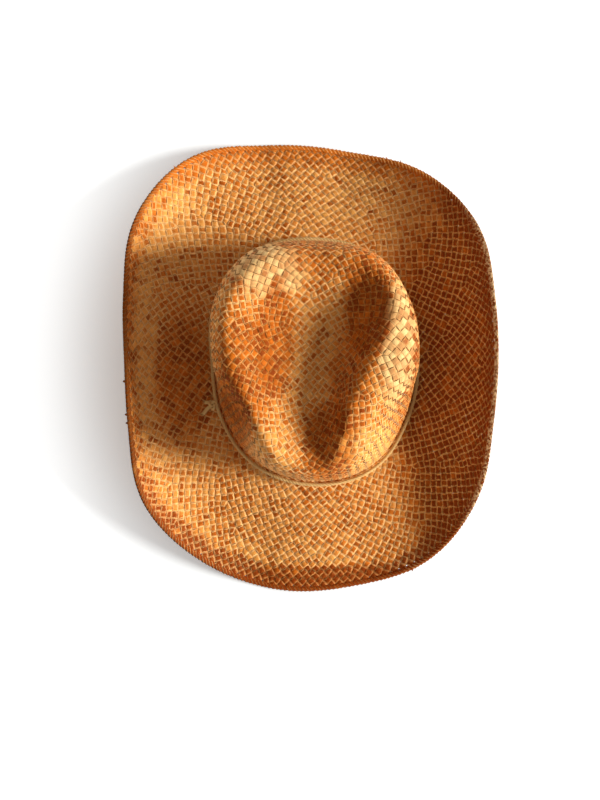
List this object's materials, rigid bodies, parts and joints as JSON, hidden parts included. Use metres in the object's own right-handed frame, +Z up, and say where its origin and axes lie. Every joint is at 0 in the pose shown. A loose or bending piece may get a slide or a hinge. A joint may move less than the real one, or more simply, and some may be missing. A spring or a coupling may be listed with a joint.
{
  "type": "straw cowboy hat",
  "caption": "Woven straw cowboy hat with a teardrop crown crease, pinched front, rolled-up sides, a whipped brim edge and a thin knotted cord round the crown.",
  "frame": {"origin": "on the table under the middle of the hat's bounding box", "axes": "+Z up, the hat's front towards -Y and its back towards +Y, +X along its width; the knot of the cord is on the -X side"},
  "size_m": [0.296, 0.3794, 0.1279],
  "materials": {
    "straw": "woven flat straw, rust dyed over natural, matt",
    "edge_whipping": "straw whipped round the edge, rust, matt",
    "cord": "pale tan lace, matt"
  },
  "bodies": {
    "root": {"crown": "straw", "brim": "straw", "brim_edge": "edge_whipping", "hat_cord": "cord", "cord_knot": "cord"}
  },
  "joints": []
}
